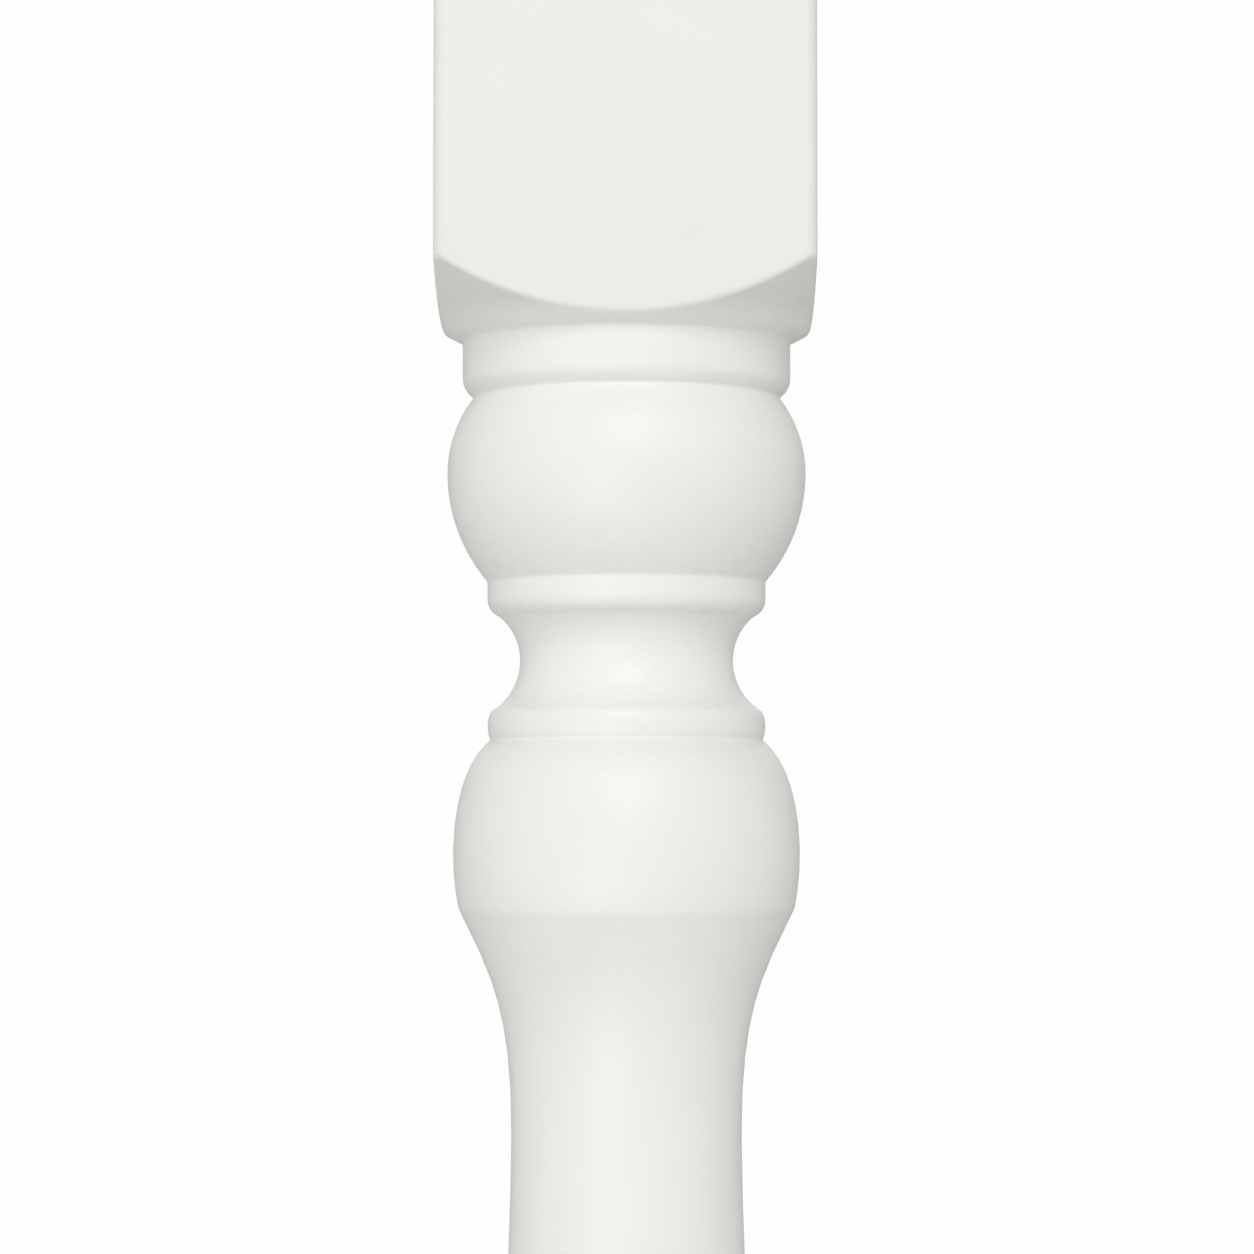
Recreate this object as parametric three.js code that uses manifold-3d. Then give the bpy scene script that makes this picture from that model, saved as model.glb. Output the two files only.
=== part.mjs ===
// A painted stair spindle: one length of square stock, turned between two square
// blocks. The lathe's cut is drawn as a profile, and the spindle is what the square
// stock keeps inside that cut, so each shoulder leaves its own bowed arc on the four
// flat faces. Millimetres, +Z up, origin in the middle of the underside.

import * as THREE from 'three';
import { mergeVertices } from 'three/addons/utils/BufferGeometryUtils.js';
import Module from 'manifold-3d';

const wasm = await Module();
wasm.setup();

// The stock, and the lengths that the lathe leaves square.
const LENGTH = 900;
const SECTION = 41;
const ARRIS_RADIUS = 1.5;
const TOP_BLOCK = 190;
const BASE_BLOCK = 230;

// Cuts are depths from the flat of the stock. Heights run along the axis, away from
// the block at that end of the spindle.

// Shoulder: the hollow slope from the corners of the block to the collar.
const SHOULDER_SLOPE = 0.46;
const SHOULDER_HOLLOW = 0.021;

// Collar: a plain band with a rounded far edge, and the groove under it.
const COLLAR_CUT = 2.27;
const COLLAR_BAND = 4.05;
const COLLAR_ROUND = 2;
const GROOVE_DEPTH = 1.15;
const GROOVE_WIDTH = 0.3;

// Ball: a flattened bead, widest on the side towards the block.
const BALL_CUT = 0.58;
const BALL_NEAR_SIDE = 8.3;
const BALL_FAR_SIDE = 12;

// Fillet: the small band that the ball runs down to.
const FILLET_CUT = 5.06;
const FILLET_BAND = 2;
const FILLET_ROUND = 1.9;
const FILLET_ROUND_DEPTH = 1.36;

// Cove: the hollow below the upper fillet, and the lip where it meets the ring.
const COVE_CUT = 8.69;
const COVE_NEAR_SIDE = 4.9;
const COVE_FAR_SIDE = 5.54;
const COVE_LIP_CUT = 5.55;

// Ring: the small bead under the cove, with its groove.
const RING_CUT = 5.1;
const RING_NEAR_SIDE = 1.6;
const RING_FAR_SIDE = 1.4;
const RING_GROOVE_DEPTH = 0.27;
const RING_GROOVE_WIDTH = 0.3;

// Vase: a half bead that swells away from the ring and ends in a crisp edge.
const VASE_CUT = 1.3;
const VASE_SWELL = 12.7;
const VASE_SWELL_LEAN = 1.28;
const VASE_TURN = 5.9;
const VASE_EDGE_DEPTH = 0.62;

// Flare: the hollow sweep from the edge of the vase to the neck.
const FLARE = 24.9;
const FLARE_LEAN = 0.5;
const NECK_CUT = 7.78;

// Long body: from the neck it swells to the belly, then turns in at its foot.
const BELLY_CUT = 1.1;
const BELLY_HEIGHT = 44;
const BODY_FOOT_DEPTH = 1.3;
const BODY_FOOT_LEAN = 0.95;

// How far the handles of each sweep reach, as shares of its height.
const VASE_SWEEP = [0.17, 0.44];
const FLARE_SWEEP = [0.3, 0.54];
const FOOT_SWEEP = [0.2, 0.55];
const BODY_SWEEP = [0.62, 0.08];

// How finely the curves are divided.
const AROUND = 48;
const ROUND_STEPS = 2;
const BEAD_STEPS = 5;
const COVE_STEPS = 4;
const SHOULDER_STEPS = 4;
const SWEEP_STEPS = 7;
const BODY_STEPS = 12;
const ARRIS_STEPS = 3;

// How far the drawn cut stands clear of what it leaves square.
const CLEARANCE = 2;

// Corners closer than this are one corner.
const WELD = 1e-4;

const whitePaint = new THREE.MeshStandardMaterial({
  name: 'white_paint',
  color: 0xf0efea,
  roughness: 0.45,
  metalness: 0,
});

const flat = SECTION / 2;
const cornerReach = (flat - ARRIS_RADIUS) * Math.SQRT2 + ARRIS_RADIUS;

// The shoulder's height above the collar, at a distance out from the collar.
function shoulderHeight(out) {
  return SHOULDER_SLOPE * out + SHOULDER_HOLLOW * out ** 2;
}

// A run of mouldings, drawn away from its block. Each call says how far along the pen
// goes next, and how deep the cut is there. Points are (radius, distance along).
class Run {
  constructor(cut, along) {
    this.points = [new THREE.Vector2(flat - cut, along)];
  }

  get end() {
    return this.points[this.points.length - 1];
  }

  next(height, cut) {
    return new THREE.Vector2(flat - cut, this.end.y + height);
  }

  straight(height, cut) {
    this.points.push(this.next(height, cut));
    return this;
  }

  follow(curve, steps) {
    this.points.push(...curve.getPoints(steps).slice(1));
    return this;
  }

  // A quarter ellipse that leaves along the axis and ends square across it.
  roundOver(height, cut) {
    const start = this.end;
    const stop = this.next(height, cut);
    const turn = new THREE.EllipseCurve(stop.x, start.y, start.x - stop.x, height, 0, Math.PI / 2);
    return this.follow(turn, ROUND_STEPS);
  }

  // A circular arc that is parallel to the axis where it ends.
  arcToCrest(height, cut, steps) {
    const crest = this.next(height, cut);
    this.points.push(...crestArc(crest, this.end, steps).reverse().slice(1));
    return this;
  }

  // A circular arc that is parallel to the axis where it starts.
  arcFromCrest(height, cut, steps) {
    this.points.push(...crestArc(this.end, this.next(height, cut), steps).slice(1));
    return this;
  }

  // A sweep that leaves at a lean, outwards or inwards, and arrives along the axis.
  sweep(height, cut, lean, shares, steps) {
    const start = this.end;
    const stop = this.next(height, cut);
    const [leave, arrive] = shares;
    const first = new THREE.Vector2(start.x + lean * leave * height, start.y + leave * height);
    const second = new THREE.Vector2(stop.x, stop.y - arrive * height);
    return this.follow(new THREE.CubicBezierCurve(start, first, second, stop), steps);
  }
}

// The points of a circular arc that is parallel to the axis at its crest.
function crestArc(crest, foot, steps) {
  const drop = foot.x - crest.x;
  const reach = foot.y - crest.y;
  const radius = (drop ** 2 + reach ** 2) / (2 * drop);
  const wholeTurn = 2 * Math.atan(drop / reach);
  const points = [];
  for (let i = 0; i <= steps; i += 1) {
    const turn = (wholeTurn * i) / steps;
    points.push(new THREE.Vector2(
      crest.x + radius * (1 - Math.cos(turn)),
      crest.y + radius * Math.sin(turn),
    ));
  }
  return points;
}

// Shoulder, collar, groove, ball and fillet: the mouldings that both ends share. The
// run starts clear of the block's corners, and counts from the collar's near edge.
function endRun() {
  const out = cornerReach + CLEARANCE - (flat - COLLAR_CUT);
  const run = new Run(COLLAR_CUT - out, -shoulderHeight(out));
  const middle = new THREE.Vector2(run.end.x - out / 2, -SHOULDER_SLOPE * (out / 2));
  const collar = new THREE.Vector2(flat - COLLAR_CUT, 0);
  run.follow(new THREE.QuadraticBezierCurve(run.end, middle, collar), SHOULDER_STEPS);
  run.straight(COLLAR_BAND, COLLAR_CUT);
  run.arcFromCrest(COLLAR_ROUND, COLLAR_CUT + GROOVE_DEPTH, ROUND_STEPS);
  run.straight(GROOVE_WIDTH, COLLAR_CUT + GROOVE_DEPTH);
  run.arcToCrest(BALL_NEAR_SIDE, BALL_CUT, BEAD_STEPS);
  run.arcFromCrest(BALL_FAR_SIDE, FILLET_CUT, BEAD_STEPS);
  run.straight(FILLET_BAND, FILLET_CUT);
  return run;
}

// The upper end goes on with the cove, the ring, the vase and the flare to the neck.
function upperRun() {
  const run = endRun();
  const grooveCut = RING_CUT + RING_GROOVE_DEPTH;
  run.arcFromCrest(FILLET_ROUND, FILLET_CUT + FILLET_ROUND_DEPTH, ROUND_STEPS);
  run.arcToCrest(COVE_NEAR_SIDE, COVE_CUT, COVE_STEPS);
  run.arcFromCrest(COVE_FAR_SIDE, COVE_LIP_CUT, COVE_STEPS);
  run.arcToCrest(RING_NEAR_SIDE, RING_CUT, ROUND_STEPS);
  run.roundOver(RING_FAR_SIDE, grooveCut);
  run.straight(RING_GROOVE_WIDTH, grooveCut);
  run.sweep(VASE_SWELL, VASE_CUT, VASE_SWELL_LEAN, VASE_SWEEP, SWEEP_STEPS);
  run.arcFromCrest(VASE_TURN, VASE_CUT + VASE_EDGE_DEPTH, ROUND_STEPS);
  run.sweep(FLARE, NECK_CUT, -FLARE_LEAN, FLARE_SWEEP, SWEEP_STEPS);
  return run;
}

// The lower end is plainer: a step in from the fillet, and the foot of the long body.
function lowerRun() {
  const run = endRun();
  run.arcFromCrest(FILLET_ROUND, FILLET_CUT + BODY_FOOT_DEPTH, ROUND_STEPS);
  run.sweep(BELLY_HEIGHT, BELLY_CUT, BODY_FOOT_LEAN, FOOT_SWEEP, SWEEP_STEPS);
  return run;
}

// The whole cut, from the underside to the top, closed on the axis.
function cutProfile() {
  const shoulder = shoulderHeight(cornerReach - (flat - COLLAR_CUT));
  const lower = lowerRun().points;
  const upper = upperRun().points;
  lower.forEach((point) => { point.y += BASE_BLOCK + shoulder; });
  upper.forEach((point) => { point.y = LENGTH - TOP_BLOCK - shoulder - point.y; });
  upper.reverse();

  const belly = lower[lower.length - 1];
  const neck = upper[0];
  const span = neck.y - belly.y;
  const [fromBelly, fromNeck] = BODY_SWEEP;
  const body = new THREE.CubicBezierCurve(
    belly,
    new THREE.Vector2(belly.x, belly.y + fromBelly * span),
    new THREE.Vector2(neck.x, neck.y - fromNeck * span),
    neck,
  ).getPoints(BODY_STEPS).slice(1, -1);

  const clear = cornerReach + CLEARANCE;
  return [
    new THREE.Vector2(0, -CLEARANCE),
    new THREE.Vector2(clear, -CLEARANCE),
    ...lower,
    ...body,
    ...upper,
    new THREE.Vector2(clear, LENGTH + CLEARANCE),
    new THREE.Vector2(0, LENGTH + CLEARANCE),
  ];
}

// The square stock: a length of square section with rounded arrises.
function stockGeometry() {
  const corner = flat - ARRIS_RADIUS;
  const section = new THREE.Shape();
  section.absarc(corner, corner, ARRIS_RADIUS, 0, Math.PI / 2);
  section.absarc(-corner, corner, ARRIS_RADIUS, Math.PI / 2, Math.PI);
  section.absarc(-corner, -corner, ARRIS_RADIUS, Math.PI, Math.PI * 1.5);
  section.absarc(corner, -corner, ARRIS_RADIUS, Math.PI * 1.5, Math.PI * 2);
  return new THREE.ExtrudeGeometry(section, {
    depth: LENGTH,
    bevelEnabled: false,
    curveSegments: ARRIS_STEPS,
  });
}

function toSolid(geometry) {
  geometry.deleteAttribute('normal');
  geometry.deleteAttribute('uv');
  const merged = mergeVertices(geometry, WELD);
  return new wasm.Manifold(new wasm.Mesh({
    numProp: 3,
    vertProperties: new Float32Array(merged.attributes.position.array),
    triVerts: new Uint32Array(merged.index.array),
  }));
}

function toGeometry(solid) {
  const mesh = solid.getMesh();
  const geometry = new THREE.BufferGeometry();
  geometry.setAttribute('position', new THREE.BufferAttribute(mesh.vertProperties, 3));
  geometry.setIndex(new THREE.BufferAttribute(mesh.triVerts, 1));
  geometry.computeVertexNormals();
  return geometry;
}

// The cut is drawn with its axis on Y, so it is stood up onto Z.
function makeSpindle() {
  const cut = new THREE.LatheGeometry(cutProfile(), AROUND).rotateX(Math.PI / 2);
  const turned = toSolid(cut).intersect(toSolid(stockGeometry()));
  const spindle = new THREE.Mesh(toGeometry(turned), whitePaint);
  spindle.name = 'spindle';
  return spindle;
}

const stairSpindle = new THREE.Group();
stairSpindle.name = 'stair_spindle';
stairSpindle.add(makeSpindle());

export default stairSpindle;
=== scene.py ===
# %% [markdown]
# # A painted stair spindle
#
# This lesson dresses one turned stair spindle: a stick of square softwood, turned on a
# lathe between two square blocks and painted satin off-white. The solid that gives its
# size is loaded first and is never moved. We build a finer skin over it, with the soft
# edges that sanding and paint leave, and then paint, light and photograph it.

# %% Load the frame
import math

import bpy
import numpy as np
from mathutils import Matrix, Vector


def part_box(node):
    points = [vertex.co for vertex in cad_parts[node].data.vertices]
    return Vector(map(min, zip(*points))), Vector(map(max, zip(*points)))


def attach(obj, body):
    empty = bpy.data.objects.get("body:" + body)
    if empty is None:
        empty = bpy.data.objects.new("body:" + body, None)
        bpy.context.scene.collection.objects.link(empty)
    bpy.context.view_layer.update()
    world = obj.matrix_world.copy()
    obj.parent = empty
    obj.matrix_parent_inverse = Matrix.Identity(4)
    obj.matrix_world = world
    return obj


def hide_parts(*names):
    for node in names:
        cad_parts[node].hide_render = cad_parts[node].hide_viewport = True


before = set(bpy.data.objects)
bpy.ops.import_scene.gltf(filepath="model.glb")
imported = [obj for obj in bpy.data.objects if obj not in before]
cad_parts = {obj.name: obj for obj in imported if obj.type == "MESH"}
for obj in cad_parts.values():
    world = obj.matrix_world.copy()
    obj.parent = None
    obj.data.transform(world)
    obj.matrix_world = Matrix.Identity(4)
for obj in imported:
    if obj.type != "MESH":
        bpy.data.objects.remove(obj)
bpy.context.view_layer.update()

print("nodes in the frame:", sorted(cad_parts))

# %% [markdown]
# ## The stock
#
# Blender counts in metres, and a woodturner in millimetres. We keep the turner's
# numbers and turn them into metres once, when the mesh is made. The width and the
# length of the stock aren't typed in: they are read from the solid, so the skin fits it.

# %% Measure the stock
MM = 0.001
low, high = (Vector(corner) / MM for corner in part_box("spindle"))
HALF = (high.x - low.x) / 2
LENGTH = high.z - low.z
TOP_BLOCK = 190
BASE_BLOCK = 230
print(f"stock {2 * HALF:.1f} mm square and {LENGTH:.1f} mm long")

# %% [markdown]
# ## The arrises
#
# The four long edges of the stock are sanded by hand before painting, so no two are
# quite as round as each other. One radius for each edge, counted anticlockwise from
# the right-hand back edge, says more than a single bevel would.

# %% Say how round each long edge is
ARRIS = (1.3, 1.35, 1.4, 1.25)
WIDEST_ARRIS = max(ARRIS)
QUARTER_TURN = math.pi / 2


def stock_reach(angles):
    """How far the square stock reaches from its axis in each direction."""
    corner = (angles // QUARTER_TURN).astype(int) % 4
    arris = np.array(ARRIS)[corner]
    across, along = np.abs(np.cos(angles)), np.abs(np.sin(angles))
    near, far = np.minimum(across, along), np.maximum(across, along)
    core = HALF - arris
    toward = core * (near + far)
    rounded = toward + np.sqrt(np.maximum(toward ** 2 - 2 * core ** 2 + arris ** 2, 0))
    return np.where(HALF * near / far <= core, HALF / far, rounded)


print("reach at a face and at a corner:", stock_reach(np.array([0.0, QUARTER_TURN / 2])).round(2))

# %% [markdown]
# ## Arcs and curves
#
# A lathe cuts one outline all the way round, so the spindle is drawn as a profile:
# radius against distance along the axis. Nearly every moulding is one of two lines. One
# is a circular arc whose crest lies along the axis, and the other a free curve. Both
# are short formulas, which beat a long list of points: they can be stretched at will.

# %% Draw an arc and a curve
FINE = 48


def crest_arc(crest, foot):
    """Points of a circular arc from its crest, where it is parallel to the axis."""
    drop, height = foot - crest
    radius = (drop ** 2 + height ** 2) / (2 * drop)
    turns = np.linspace(0, 2 * math.atan(drop / height), FINE)
    return [crest + radius * np.array([1 - math.cos(t), math.sin(t)]) for t in turns]


def bezier(start, leave, arrive, stop):
    """Points of a cubic curve."""
    points = []
    for t in np.linspace(0, 1, FINE):
        from_start = (1 - t) ** 3 * start + 3 * t * (1 - t) ** 2 * leave
        from_stop = 3 * t * t * (1 - t) * arrive + t ** 3 * stop
        points.append(from_start + from_stop)
    return points


quarter = crest_arc(np.array([0.0, 0.0]), np.array([-1.0, 1.0]))
print("a quarter circle passes 45 degrees at", quarter[FINE // 2].round(2))

# %% [markdown]
# ## A turner's pen
#
# A turner thinks in mouldings, each so high and cut so deep below the flat of the
# stock. The pen below draws one moulding a call, moving away from the block, so the
# two ends further on read like a turner's notes.

# %% Draw mouldings with a pen
class Pen:
    """Draws a run of mouldings as points of (radius, distance from the collar)."""

    def __init__(self, cut, along):
        self.points = [np.array([HALF - cut, along])]

    def reach(self, height, cut):
        """The point so much further along, cut so deep."""
        return np.array([HALF - cut, self.points[-1][1] + height])

    def straight(self, height, cut):
        """A straight line."""
        self.points.append(self.reach(height, cut))

    def quarter_round(self, height, cut):
        """A quarter ellipse that leaves along the axis and ends square across it."""
        start, stop = self.points[-1], self.reach(height, cut)
        for turn in np.linspace(0, QUARTER_TURN, FINE)[1:]:
            radius = stop[0] + (start[0] - stop[0]) * math.cos(turn)
            self.points.append(np.array([radius, start[1] + height * math.sin(turn)]))

    def from_crest(self, height, cut):
        """A circular arc that starts parallel to the axis."""
        self.points += crest_arc(self.points[-1], self.reach(height, cut))[1:]

    def to_crest(self, height, cut):
        """A circular arc that ends parallel to the axis."""
        self.points += crest_arc(self.reach(height, cut), self.points[-1])[-2::-1]

    def sweep(self, height, cut, lean, shares):
        """A free curve that leaves at a lean and arrives along the axis."""
        start, stop = self.points[-1], self.reach(height, cut)
        leave = start + np.array([lean, 1]) * shares[0] * height
        arrive = stop - np.array([0, shares[1] * height])
        self.points += bezier(start, leave, arrive, stop)[1:]


trial = Pen(0, 0)
trial.straight(2, 0)
trial.from_crest(3, 1)
print("a trial pen stands at", trial.points[-1].round(2))

# %% [markdown]
# ## The mouldings that both ends share
#
# Next to each block stand a hollow shoulder, a collar, a groove and a ball that runs
# down to a fillet. The shoulder is where square meets round. Its slope is a parabola,
# so its height above the collar is one short formula.

# %% Draw the shoulder, collar, ball and fillet
SHOULDER_SLOPE = 0.46
SHOULDER_HOLLOW = 0.021
COLLAR_CUT = 2.27
COLLAR_BAND = 4.05
COLLAR_ROUND = 2.0
GROOVE_CUT = COLLAR_CUT + 1.15
GROOVE_WIDTH = 0.3
BALL_CUT = 0.58
BALL_NEAR_SIDE = 8.3
BALL_FAR_SIDE = 12.0
FILLET_CUT = 5.06
FILLET_BAND = 2.0
FILLET_ROUND = 1.9
COLLAR_RADIUS = HALF - COLLAR_CUT
PEN_START = 5.0


def shoulder_height(radius):
    """How high the shoulder stands above the collar at a radius."""
    out = radius - COLLAR_RADIUS
    return SHOULDER_SLOPE * out + SHOULDER_HOLLOW * out ** 2


def end_run():
    """Shoulder to fillet, from a start a little way up the shoulder."""
    outer = COLLAR_RADIUS + PEN_START
    pen = Pen(HALF - outer, -shoulder_height(outer))
    for radius in np.linspace(outer, COLLAR_RADIUS, FINE)[1:]:
        pen.points.append(np.array([radius, -shoulder_height(radius)]))
    pen.straight(COLLAR_BAND, COLLAR_CUT)
    pen.from_crest(COLLAR_ROUND, GROOVE_CUT)
    pen.straight(GROOVE_WIDTH, GROOVE_CUT)
    pen.to_crest(BALL_NEAR_SIDE, BALL_CUT)
    pen.from_crest(BALL_FAR_SIDE, FILLET_CUT)
    pen.straight(FILLET_BAND, FILLET_CUT)
    return pen


print(f"an end run is {end_run().points[-1][1]:.2f} mm from collar to fillet")

# %% [markdown]
# ## The upper end
#
# The upper end carries on with a cove, a small ring, a vase with a crisp edge, and
# the flare that narrows to the neck.

# %% Draw the cove, ring, vase and flare
COVE_TOP_CUT = FILLET_CUT + 1.36
COVE_CUT = 8.69
COVE_NEAR_SIDE = 4.9
COVE_FAR_SIDE = 5.54
COVE_LIP_CUT = 5.55
RING_CUT = 5.1
RING_NEAR_SIDE = 1.6
RING_FAR_SIDE = 1.4
RING_GROOVE_CUT = RING_CUT + 0.27
RING_GROOVE_WIDTH = 0.3
VASE_CUT = 1.3
VASE_SWELL = 12.7
VASE_LEAN = 1.28
VASE_SHARES = (0.17, 0.44)
VASE_TURN = 5.9
VASE_EDGE_CUT = VASE_CUT + 0.62
NECK_CUT = 7.78
FLARE = 24.9
FLARE_LEAN = -0.5
FLARE_SHARES = (0.3, 0.54)


def upper_run():
    """The upper end, down to the neck."""
    pen = end_run()
    pen.from_crest(FILLET_ROUND, COVE_TOP_CUT)
    pen.to_crest(COVE_NEAR_SIDE, COVE_CUT)
    pen.from_crest(COVE_FAR_SIDE, COVE_LIP_CUT)
    pen.to_crest(RING_NEAR_SIDE, RING_CUT)
    pen.quarter_round(RING_FAR_SIDE, RING_GROOVE_CUT)
    pen.straight(RING_GROOVE_WIDTH, RING_GROOVE_CUT)
    pen.sweep(VASE_SWELL, VASE_CUT, VASE_LEAN, VASE_SHARES)
    pen.from_crest(VASE_TURN, VASE_EDGE_CUT)
    pen.sweep(FLARE, NECK_CUT, FLARE_LEAN, FLARE_SHARES)
    return np.array(pen.points)


print(f"the neck is {2 * upper_run()[-1][0]:.1f} mm across")

# %% [markdown]
# ## The lower end and the long body
#
# The lower end is plainer. From its fillet the long body steps in, swells to its
# belly, and then tapers all the way up to the neck. The body takes whatever length
# the stock has left over.

# %% Draw the foot and join the two ends
FOOT_CUT = FILLET_CUT + 1.3
FOOT_LEAN = 0.95
FOOT_SHARES = (0.2, 0.55)
BELLY_HEIGHT = 44
BELLY_CUT = 1.1
CORNER_REACH = float(stock_reach(np.array([QUARTER_TURN / 2]))[0])
BASE_COLLAR = BASE_BLOCK + shoulder_height(CORNER_REACH)
TOP_COLLAR = LENGTH - TOP_BLOCK - shoulder_height(CORNER_REACH)
BODY_SHARES = (0.62, 0.08)


def lower_run():
    """The lower end, up to the belly."""
    pen = end_run()
    pen.from_crest(FILLET_ROUND, FOOT_CUT)
    pen.sweep(BELLY_HEIGHT, BELLY_CUT, FOOT_LEAN, FOOT_SHARES)
    return np.array(pen.points)


def whole_profile():
    """The whole cut from shoulder to shoulder, as (radius, height above the floor)."""
    lower, upper = lower_run(), upper_run()[::-1]
    lower[:, 1] += BASE_COLLAR
    upper[:, 1] = TOP_COLLAR - upper[:, 1]
    belly, neck = lower[-1], upper[0]
    span = np.array([0, neck[1] - belly[1]])
    body = bezier(belly, belly + BODY_SHARES[0] * span, neck - BODY_SHARES[1] * span, neck)
    return np.vstack([lower, body[1:-1], upper])


profile = whole_profile()
print(f"{len(profile)} points from {profile[0][1]:.1f} to {profile[-1][1]:.1f} mm")

# %% [markdown]
# ## Paint softens every corner
#
# A bevel modifier would soften the corners too, but it needs a width for each edge and
# leaves long thin faces. Paint does something simpler: it rounds a sharp corner and
# leaves a slow curve alone. Walking along the profile in tiny steps and averaging
# each point with its neighbours does just that.

# %% Lay a film of paint over the profile
STEP = 0.04
PAINT_FILM = 0.13
BELL_REACH = 4


def walk(points, step):
    """The same line, as points an even step apart."""
    travelled = np.r_[0, np.cumsum(np.linalg.norm(np.diff(points, axis=0), axis=1))]
    marks = np.linspace(0, travelled[-1], int(travelled[-1] / step))
    return np.column_stack([np.interp(marks, travelled, points[:, axis]) for axis in (0, 1)])


def blur(values, width):
    """Each value averaged with its neighbours, by a bell curve so many steps wide."""
    reach = int(BELL_REACH * width)
    bell = np.exp(-0.5 * (np.arange(-reach, reach + 1) / width) ** 2)
    padded = np.pad(values, reach, mode="edge")
    return np.convolve(padded, bell / bell.sum(), mode="valid")


fine_line = walk(profile, STEP)
painted = np.column_stack([blur(fine_line[:, axis], PAINT_FILM / STEP) for axis in (0, 1)])
moved = np.linalg.norm(painted - fine_line, axis=1)
print(f"corners moved by up to {moved.max():.3f} mm, and the whole line by {moved.mean():.4f} on average")

# %% [markdown]
# ## Rows where the curve needs them
#
# A row of vertices every tenth of a millimetre would be wasteful on the long body and
# too coarse in the grooves. We ask for a row at each few degrees of turning instead,
# and blur that wish along the line, so that rows thin out gently beside a corner.

# %% Choose the rows of the turning
DEGREES_A_ROW = 6.5
LONGEST_ROW = 9.0
ROW_EASE = 0.3
SHOULDER_START = 0.9

heading = np.unwrap(np.arctan2(np.gradient(painted[:, 0]), np.gradient(painted[:, 1])))
bend = np.gradient(heading) / STEP
wish = np.abs(bend) / math.radians(DEGREES_A_ROW) + 1 / LONGEST_ROW
wish = blur(wish, ROW_EASE / STEP)

on_shoulder = np.flatnonzero(painted[:, 0] < COLLAR_RADIUS + SHOULDER_START)
first, last = on_shoulder[0], on_shoulder[-1]
count = np.cumsum(wish[first:last + 1]) * STEP
rows_wanted = int(count[-1])
picks = np.interp(np.linspace(count[0], count[-1], rows_wanted), count, np.arange(first, last + 1))
turned_radius = np.interp(picks, np.arange(len(painted)), painted[:, 0])
turned_height = np.interp(picks, np.arange(len(painted)), painted[:, 1])
print(f"{rows_wanted} rows for the turning")

# %% [markdown]
# ## Columns round the stock
#
# The same columns run through blocks and turning alike, so the mesh is one clean
# grid. They crowd together at the four arrises, where the block needs them, and the
# first and last of each flat stand close to the arris so that the flat shades flat.

# %% Choose the columns
FLAT_COLUMNS = 38
ARRIS_COLUMNS = 12
BESIDE_ARRIS = 0.25


def column_angles():
    """The direction of each column, once round from the middle of the right face."""
    core = HALF - WIDEST_ARRIS
    inner = core - BESIDE_ARRIS
    flat = np.r_[-core, np.linspace(-inner, inner, FLAT_COLUMNS - 1), core]
    turns = np.linspace(0, QUARTER_TURN, ARRIS_COLUMNS + 1)[1:-1]
    arc = np.arctan2(core + WIDEST_ARRIS * np.sin(turns), core + WIDEST_ARRIS * np.cos(turns))
    quarter = np.r_[np.arctan2(flat, HALF), arc]
    return np.concatenate([quarter + side * QUARTER_TURN for side in range(4)]) % (4 * QUARTER_TURN)


angles = column_angles()
reach = stock_reach(angles)
print(f"{len(angles)} columns")

# %% [markdown]
# ## Where round meets square
#
# Each shoulder runs out through the flat faces of its block. The line where it breaks
# out bows along each face, and if the rows ran straight across it, the edge would
# come out as a staircase. So these rows follow it: some climb the shoulder to just
# below the edge, a few turn over it, and the rest level out up the block.

# %% Rows over the edge of a shoulder
EDGE_REACH = 0.6
CLIMB_ROWS = 7
TURN_ROWS = 9
LEVEL_ROWS = 4
LEVEL_REACH = 1.8
BLOCK_STEP = 16.0


def shoulder_rows(stop):
    """Rows of (radius, height above the collar, how turned) from shoulder to block's end."""
    edge = shoulder_height(reach)
    slope = SHOULDER_SLOPE + 2 * SHOULDER_HOLLOW * (reach - COLLAR_RADIUS)
    inward = EDGE_REACH / np.sqrt(1 + slope ** 2)
    start = COLLAR_RADIUS + SHOULDER_START
    rows = []
    for t in np.linspace(0, 1, CLIMB_ROWS + 1)[1:]:
        radius = start + t * (reach - inward - start)
        rows.append((radius, shoulder_height(radius), 1))
    below = shoulder_height(reach - inward)
    for t in np.linspace(0, 1, TURN_ROWS + 1)[1:]:
        radius = reach - (1 - t) ** 2 * inward
        height = (1 - t) ** 2 * below + 2 * t * (1 - t) * edge + t ** 2 * (edge + EDGE_REACH)
        rows.append((radius, height, 1 - t))
    over, level = edge + EDGE_REACH, edge.max() + LEVEL_REACH
    for t in (np.linspace(0, 1, LEVEL_ROWS + 1)[1:]) ** 2:
        rows.append((reach, over + t * (level - over), 0))
    for height in np.linspace(level, stop, int((stop - level) / BLOCK_STEP) + 1)[1:]:
        rows.append((reach, np.full_like(reach, height), 0))
    return rows


print(f"{len(shoulder_rows(BASE_COLLAR))} rows for the lower shoulder and block")

# %% [markdown]
# ## The sawn ends
#
# The ends are cut square, and their sharp edges are broken with a stroke of
# sandpaper. A few rings then close the flat end towards its middle.

# %% Rows over a sawn end
END_BREAK = 0.35
BREAK_ROWS = 4
END_RINGS = (0.97, 0.8, 0.55, 0.28)


def end_rows(stop):
    """Rows of (radius, height, how turned) over the broken edge and across the flat end."""
    rows = []
    for turn in np.linspace(0, QUARTER_TURN, BREAK_ROWS + 1)[1:]:
        inset = END_BREAK * (1 - math.cos(turn))
        height = stop - END_BREAK + END_BREAK * math.sin(turn)
        rows.append((reach - inset, np.full_like(reach, height), 0))
    for share in END_RINGS:
        rows.append((share * reach, np.full_like(reach, stop), 0))
    return rows


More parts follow.
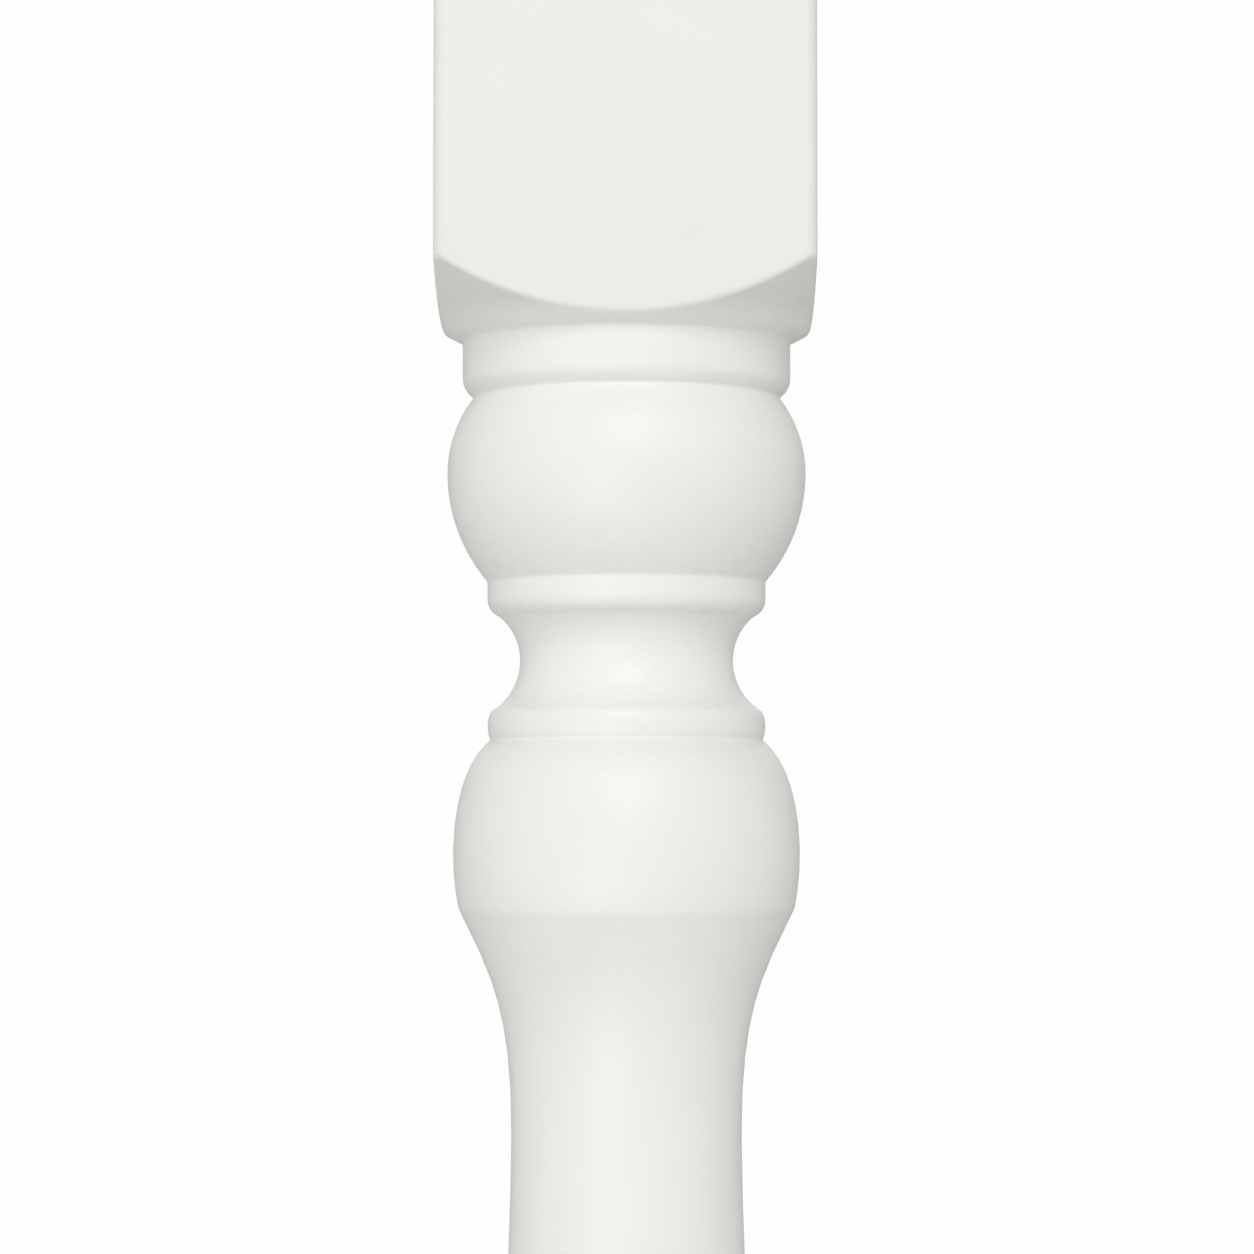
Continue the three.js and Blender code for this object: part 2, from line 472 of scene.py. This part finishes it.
print(f"{len(end_rows(LENGTH))} rows over each end")

# %% [markdown]
# ## Knitting the grid
#
# Now the rows are stacked from the underside to the top: an end and its block, a
# shoulder, the turning, and the same again the other way up. Each row also says how
# turned it is, from nothing on the blocks to one on the turning.

# %% Stack the rows
def block_and_shoulder(collar, direction, stop):
    """All rows of one end in order, from the shoulder out to the middle of the end."""
    length = abs(stop - collar)
    rows = shoulder_rows(length - END_BREAK) + end_rows(length)
    return [(radius, collar + direction * height, turned) for radius, height, turned in rows]


base_rows = block_and_shoulder(BASE_COLLAR, -1, 0)[::-1]
top_rows = block_and_shoulder(TOP_COLLAR, 1, LENGTH)
turned_rows = [
    (np.full_like(reach, radius), np.full_like(reach, height), 1)
    for radius, height in zip(turned_radius, turned_height)
]
rows = base_rows + turned_rows + top_rows
radius_grid = np.array([row[0] for row in rows])
height_grid = np.array([row[1] for row in rows])
turned_marks = np.array([row[2] for row in rows])
print(f"grid of {radius_grid.shape[0]} rows by {radius_grid.shape[1]} columns")

# %% [markdown]
# A mesh wants one flat list of points and one of faces. Each face joins two
# neighbouring columns on two neighbouring rows, and a fan closes each end.

# %% Make the mesh
def make_mesh(name, radius, height):
    """A closed tube of the grid's rows and columns, with a fan over each end."""
    row_count, column_count = radius.shape
    points = np.stack([radius * np.cos(angles), radius * np.sin(angles), height], axis=-1)
    base_middle = [[0, 0, height[0, 0]]]
    top_middle = [[0, 0, height[-1, 0]]]
    points = np.vstack([points.reshape(-1, 3), base_middle, top_middle]) * MM
    columns = np.arange(column_count)
    beside = (columns + 1) % column_count
    faces = []
    for row in range(row_count - 1):
        here, above = row * column_count, (row + 1) * column_count
        faces += np.column_stack([here + columns, here + beside, above + beside, above + columns]).tolist()
    base_index, top_index = row_count * column_count, row_count * column_count + 1
    last_row = (row_count - 1) * column_count
    faces += [(base_index, int(b), int(a)) for a, b in zip(columns, beside)]
    faces += [(top_index, int(last_row + a), int(last_row + b)) for a, b in zip(columns, beside)]
    mesh = bpy.data.meshes.new(name)
    mesh.from_pydata(points.tolist(), [], faces)
    mesh.shade_smooth()
    mesh.validate()
    return mesh


spindle_mesh = make_mesh("turned_spindle", radius_grid, height_grid)
triangles = sum(len(face.vertices) - 2 for face in spindle_mesh.polygons)
print(f"{len(spindle_mesh.vertices)} vertices, {triangles} triangles")

# %% [markdown]
# Paint hides most of the wood, but not where the cutter crossed the grain: there the
# end grain drinks the paint and stays a little rough and dull. It is worst on the
# corners of a shoulder, further out than the flats, because there the cutter met wood
# on only part of each turn and tore it. So each vertex is marked with how steep, how
# torn and how turned its surface is, and the paint reads the marks later. The paint
# also uses the torn and turned marks for painted shade: it darkens the torn corners of
# the shoulders and the blocks. The marks are worked out from the profile, so they stay
# true if it changes.

# %% Mark the grain
SHOULDER_STEEPNESS = math.cos(math.atan(SHOULDER_SLOPE))
TORN_REACH = 3.0


def mark(mesh, name, grid):
    """Stores one number for each vertex. The two end middles get nothing."""
    layer = mesh.attributes.new(name, "FLOAT", "POINT")
    layer.data.foreach_set("value", np.r_[grid.ravel(), 0, 0].astype(np.float32))


turned_grid = np.repeat(turned_marks[:, None], len(angles), axis=1)
steep_grid = SHOULDER_STEEPNESS * turned_grid
turning = slice(len(base_rows), len(base_rows) + len(turned_rows))
steep_grid[turning] = np.abs(np.sin(np.interp(picks, np.arange(len(heading)), heading)))[:, None]
torn_grid = turned_grid * np.clip((radius_grid - HALF) / TORN_REACH, 0, 1)
mark(spindle_mesh, "turned", turned_grid)
mark(spindle_mesh, "steep", steep_grid)
mark(spindle_mesh, "torn", torn_grid)
print(f"{np.mean(torn_grid > 0.5):.1%} of the vertices are on torn corners")

# %% [markdown]
# The skin stands exactly where the solid stands, so it needs no moving. It only has to
# say which part of the frame it rides on and which solid it takes the place of.

# %% Put the spindle on the frame
spindle = bpy.data.objects.new("turned_spindle", spindle_mesh)
bpy.context.scene.collection.objects.link(spindle)
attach(spindle, "root")
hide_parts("spindle")
print("the skin measures", [round(size / MM, 2) for size in spindle.dimensions], "mm")

# %% [markdown]
# ## Shader maths as plain sums
#
# A material is a graph of nodes, and graphs of Math nodes are hard to read. The
# small class below wraps a socket, so that `1 - mask * 0.2` adds its own Math nodes.

# %% Wrap a socket
class Wire:
    """A value in a shader graph that can be added to, multiplied and so on."""

    def __init__(self, finish, socket):
        self.finish = finish
        self.socket = socket

    def maths(self, operation, *values):
        """A Math node on these values."""
        inputs = dict(enumerate(values))
        return self.finish.node("ShaderNodeMath", {"operation": operation}, inputs)

    def __add__(self, other):
        return self.maths("ADD", self, other)

    def __sub__(self, other):
        return self.maths("SUBTRACT", self, other)

    def __rsub__(self, other):
        return self.maths("SUBTRACT", other, self)

    def __mul__(self, other):
        return self.maths("MULTIPLY", self, other)

    __radd__ = __add__
    __rmul__ = __mul__


class Finish:
    """A graph of nodes, and the one way in which nodes are added to it."""

    def __init__(self, tree):
        self.tree = tree
        tree.nodes.clear()

    def node(self, kind, settings=None, inputs=None, output=0):
        """Adds a node: its settings first, then a value or a wire for each socket."""
        made = self.tree.nodes.new(kind)
        for name, value in (settings or {}).items():
            setattr(made, name, value)
        for name, value in (inputs or {}).items():
            if isinstance(value, Wire):
                self.tree.links.new(value.socket, made.inputs[name])
            else:
                made.inputs[name].default_value = value
        return Wire(self, made.outputs[output] if made.outputs else None)


print("a wire can", ", ".join(name.strip("_") for name in vars(Wire) if name.startswith("__r")))

# %% [markdown]
# ## The paint
#
# Satin white paint on softwood looks like one flat colour until the light rakes
# across it. Then four things show: short streaks that the cutter left round the
# turning, fibres that the paint raised where it crossed the end grain, the long
# traces of the plane, and a slow unevenness of the film. Each is a noise stretched
# along the way it was made, so many millimetres long in each direction.

# %% Mix the noises
PER_MM = 1 / MM
MIDDLE_OF_NOISE = 0.5
STREAK_SIZE = (1.8, 1.8, 0.3)
FIBRE_SIZE = (1.1, 1.1, 0.45)
PLANE_SIZE = (1.6, 1.6, 24)
FILM_SIZE = (9, 9, 12)
SMOOTH = 2
CRISP = 3

paint = bpy.data.materials.new("white_paint")
paint.use_nodes = True
finish = Finish(paint.node_tree)
place = finish.node("ShaderNodeTexCoord", output="Object")


def grain(name, stretch, detail):
    """Noise around zero whose blobs are so many millimetres long each way."""
    scale = tuple(PER_MM / length for length in stretch)
    stretched = finish.node("ShaderNodeVectorMath", {"operation": "MULTIPLY"}, {0: place, 1: scale})
    inputs = {"Vector": stretched, "Scale": 1, "Detail": detail}
    return finish.node("ShaderNodeTexNoise", {"name": name}, inputs) - MIDDLE_OF_NOISE


def marked(name):
    """A mark that was stored on the mesh."""
    return finish.node("ShaderNodeAttribute", {"attribute_name": name}, output="Fac")


turned, steep, torn = marked("turned"), marked("steep"), marked("torn")
streaks = grain("cutter_streaks", STREAK_SIZE, SMOOTH)
fibres = grain("raised_fibres", FIBRE_SIZE, CRISP)
planed = grain("plane_traces", PLANE_SIZE, SMOOTH)
film = grain("uneven_film", FILM_SIZE, SMOOTH)
print("paint mixed with", len(paint.node_tree.nodes), "nodes so far")

# %% [markdown]
# The colour slides between paint that covers well and paint that the wood has drunk,
# and the darker paint also serves as painted shade. The blocks are painted a shade
# greyer than the turning: this is painted shade on their flat faces. The torn corners
# of the shoulders are greyest, partly from drunk paint and partly as painted shade.
# The differences are small: any stronger and it would look dirty.

# %% Choose the colour
PAINT = (0.874, 0.866, 0.833, 1)
# the darker paint: paint the wood has drunk, and also painted shade on the blocks and torn corners
THIN_PAINT_AND_SHADE = (0.770, 0.760, 0.724, 1)
PLAIN_TONE = 0.1
# painted shade: darkens the blocks, whose paint is the same as the turning's
BLOCK_SHADE = 0.42
# darkens the torn corners: partly drunk paint, partly painted shade
TORN_PAINT_AND_SHADE = 0.9
MARK_TONE = 0.6
FILM_TONE = 0.4

# painted shade: the blocks, and in part the torn corners, are darkened here
tone = PLAIN_TONE + BLOCK_SHADE * (1 - turned) + TORN_PAINT_AND_SHADE * torn
tone = tone + MARK_TONE * steep * (fibres + streaks) + FILM_TONE * film
mix = {"data_type": "RGBA", "clamp_factor": True}
colour = finish.node("ShaderNodeMix", mix, {0: tone, "A": PAINT, "B": THIN_PAINT_AND_SHADE}, output=2)
print("covering paint", PAINT[:3], "and thin paint", THIN_PAINT_AND_SHADE[:3])

# %% [markdown]
# The relief is in millimetres, and none of it is deeper than a hair is thick. The
# streaks hardly show on the crests, where the cutter ran along the grain.

# %% Brush it on
PAINT_ROUGHNESS = 0.4
PAINT_IOR = 1.5
STEEP_DULLS = 0.06
FILM_DULLS = 0.1
FILM_RELIEF = 0.03
PLANED_RELIEF = 0.006
STREAK_RELIEF = 0.016
FIBRE_RELIEF = 0.026
CREST_SHARE = 0.2
TURNED_HIDES = 0.5

relief = FILM_RELIEF * film + PLANED_RELIEF * planed * (1 - TURNED_HIDES * turned)
relief = relief + STREAK_RELIEF * streaks * (steep + CREST_SHARE * turned)
relief = relief + FIBRE_RELIEF * fibres * steep
bump = finish.node("ShaderNodeBump", {}, {"Height": relief * MM, "Strength": 1.0, "Distance": 1.0})
rough = PAINT_ROUGHNESS + FILM_DULLS * film + STEEP_DULLS * steep
coat = {"Base Color": colour, "Roughness": rough, "Normal": bump, "IOR": PAINT_IOR}
surface = finish.node("ShaderNodeBsdfPrincipled", {}, coat)
finish.node("ShaderNodeOutputMaterial", {}, {"Surface": surface})
spindle_mesh.materials.append(paint)
print("paint finished with", len(paint.node_tree.nodes), "nodes")

# %% [markdown]
# ## The floor
#
# The spindle stands on a plain pale floor. It is a flat round disc, so that it has no
# corners to catch the eye.

# %% Lay the floor
FLOOR_RADIUS = 3.0
FLOOR_COLUMNS = 96
FLOOR_COLOUR = (0.79, 0.78, 0.765, 1)
FLOOR_ROUGHNESS = 0.8


def make_floor():
    """A flat disc, level with the underside of the spindle."""
    turns = np.linspace(0, 4 * QUARTER_TURN, FLOOR_COLUMNS, endpoint=False)
    rim = [(FLOOR_RADIUS * math.cos(t), FLOOR_RADIUS * math.sin(t), 0) for t in turns]
    mesh = bpy.data.meshes.new("floor")
    mesh.from_pydata(rim, [], [tuple(range(FLOOR_COLUMNS))])
    disc = bpy.data.objects.new("floor", mesh)
    bpy.context.scene.collection.objects.link(disc)
    return disc


floor = make_floor()
pale = bpy.data.materials.new("pale_floor")
pale.use_nodes = True
matt = Finish(pale.node_tree)
matt_coat = {"Base Color": FLOOR_COLOUR, "Roughness": FLOOR_ROUGHNESS}
matt_surface = matt.node("ShaderNodeBsdfPrincipled", {}, matt_coat)
matt.node("ShaderNodeOutputMaterial", {}, {"Surface": matt_surface})
floor.data.materials.append(pale)
print(f"floor {2 * FLOOR_RADIUS:.0f} m across")

# %% [markdown]
# ## The light
#
# The spindle darkens evenly from the middle towards both outlines and has only faint,
# broad highlights, so most of its light comes from large soft surfaces: one at each
# side, one behind the camera and a weak one above. Nothing lights it from straight
# behind, and that keeps its outlines crisp. Each of these glows most along its own
# axis, and not at all a quarter turn away. The camera itself sees plain white.

# %% Light the surround
SURROUND_SHOWN = 0.99
LEFT_GLOW = 0.77
RIGHT_GLOW = 0.755
FRONT_GLOW = 0.47
SKY_GLOW = 0.1

world = bpy.data.worlds.new("white_surround")
world.use_nodes = True
bpy.context.scene.world = world
air = Finish(world.node_tree)
direction = air.node("ShaderNodeTexCoord", output="Generated")


def toward(axis, sign):
    """One along an axis, less and less to the side of it, and nothing behind."""
    along = sign * air.node("ShaderNodeSeparateXYZ", {}, {0: direction}, output=axis)
    return along.maths("MAXIMUM", along, 0)


sides = LEFT_GLOW * toward("X", -1) + RIGHT_GLOW * toward("X", 1)
glow = sides + FRONT_GLOW * toward("Y", -1) + SKY_GLOW * toward("Z", 1)
lighting = air.node("ShaderNodeBackground", {}, {"Color": (1, 1, 1, 1), "Strength": glow})
shown = air.node("ShaderNodeBackground", {}, {"Color": (1, 1, 1, 1), "Strength": SURROUND_SHOWN})
seen = air.node("ShaderNodeLightPath", output="Is Camera Ray")
mixed = air.node("ShaderNodeMixShader", {}, {0: seen, 1: lighting, 2: shown})
air.node("ShaderNodeOutputWorld", {}, {"Surface": mixed})
print("the surround has", len(world.node_tree.nodes), "nodes")

# %% [markdown]
# ## Softboxes
#
# A high softbox just beside the camera gives the highlights on the upper halves of the
# ball and the vase. A low one on the left lifts the undersides, which are only a little
# darker than the tops. The third stands behind and above, for the back. These two have
# grids, which keep their beams off the floor, where they would leave bright patches.
# The camera sees none of the three.

# %% Hang the softboxes
AIM_BELOW_COLLAR = 35
TARGET = Vector((0, 0, (TOP_COLLAR - AIM_BELOW_COLLAR) * MM))
BOX_WIDTH = 0.7
BOX_HEIGHT = 0.6
BOX_DISTANCE = 1.5
OPEN = 180
GRIDDED = 80
SOFTBOXES = {
    "high_softbox": (3, 34, 6.4, OPEN),
    "low_softbox": (-18, -14, 0.78, GRIDDED),
    "back_softbox": (180, 45, 2.5, GRIDDED),
}


def softbox(name, around, up, watts, spread):
    """A soft rectangle, so many degrees round to the right and up from the front.

    Its light spreads over so many degrees too: all of them, or fewer through a grid.
    """
    around, up = math.radians(around), math.radians(up)
    lamp = bpy.data.lights.new(name, "AREA")
    lamp.shape = "RECTANGLE"
    lamp.size = BOX_WIDTH
    lamp.size_y = BOX_HEIGHT
    lamp.energy = watts
    lamp.spread = math.radians(spread)
    box = bpy.data.objects.new(name, lamp)
    out = Vector((math.sin(around) * math.cos(up), -math.cos(around) * math.cos(up), math.sin(up)))
    box.location = TARGET + BOX_DISTANCE * out
    box.rotation_euler = out.to_track_quat("Z", "Y").to_euler()
    box.visible_camera = False
    bpy.context.scene.collection.objects.link(box)


for name, setting in SOFTBOXES.items():
    softbox(name, *setting)
print("softboxes hung:", ", ".join(SOFTBOXES))

# %% [markdown]
# ## The camera
#
# The edges of the mouldings bow more, the further they stand above a line near the
# vase. They give the camera's place: some 430 mm away, level with the vase, and 3 mm
# to the right of the axis. The picture reaches further up than down from that line,
# so the camera is tilted up a little. The lens is long, and the plainest of the view
# transforms keeps the whites as the paint and the lights give them.

# %% Set the camera
SENSOR = 36.0
PHOTO_PIXELS = 1254
FOCAL_PIXELS = 3908
DISTANCE = 433.8
ASIDE = 3.1
BELOW_COLLAR = 50.95
TILT = math.radians(2.545)
AXIS_PIXELS_LEFT = 0.5

camera_data = bpy.data.cameras.new("camera")
camera_data.sensor_fit = "HORIZONTAL"
camera_data.sensor_width = SENSOR
camera_data.lens = SENSOR * FOCAL_PIXELS / PHOTO_PIXELS
camera = bpy.data.objects.new("camera", camera_data)
camera.location = Vector((ASIDE, -DISTANCE, TOP_COLLAR - BELOW_COLLAR)) * MM
turn = math.atan(ASIDE / DISTANCE) - AXIS_PIXELS_LEFT / FOCAL_PIXELS
camera.rotation_euler = (QUARTER_TURN + TILT, 0, turn)
bpy.context.scene.collection.objects.link(camera)
bpy.context.scene.camera = camera
bpy.context.scene.view_settings.view_transform = "Standard"
print(f"lens {camera_data.lens:.1f} mm, turned {math.degrees(turn):.2f} degrees to the left")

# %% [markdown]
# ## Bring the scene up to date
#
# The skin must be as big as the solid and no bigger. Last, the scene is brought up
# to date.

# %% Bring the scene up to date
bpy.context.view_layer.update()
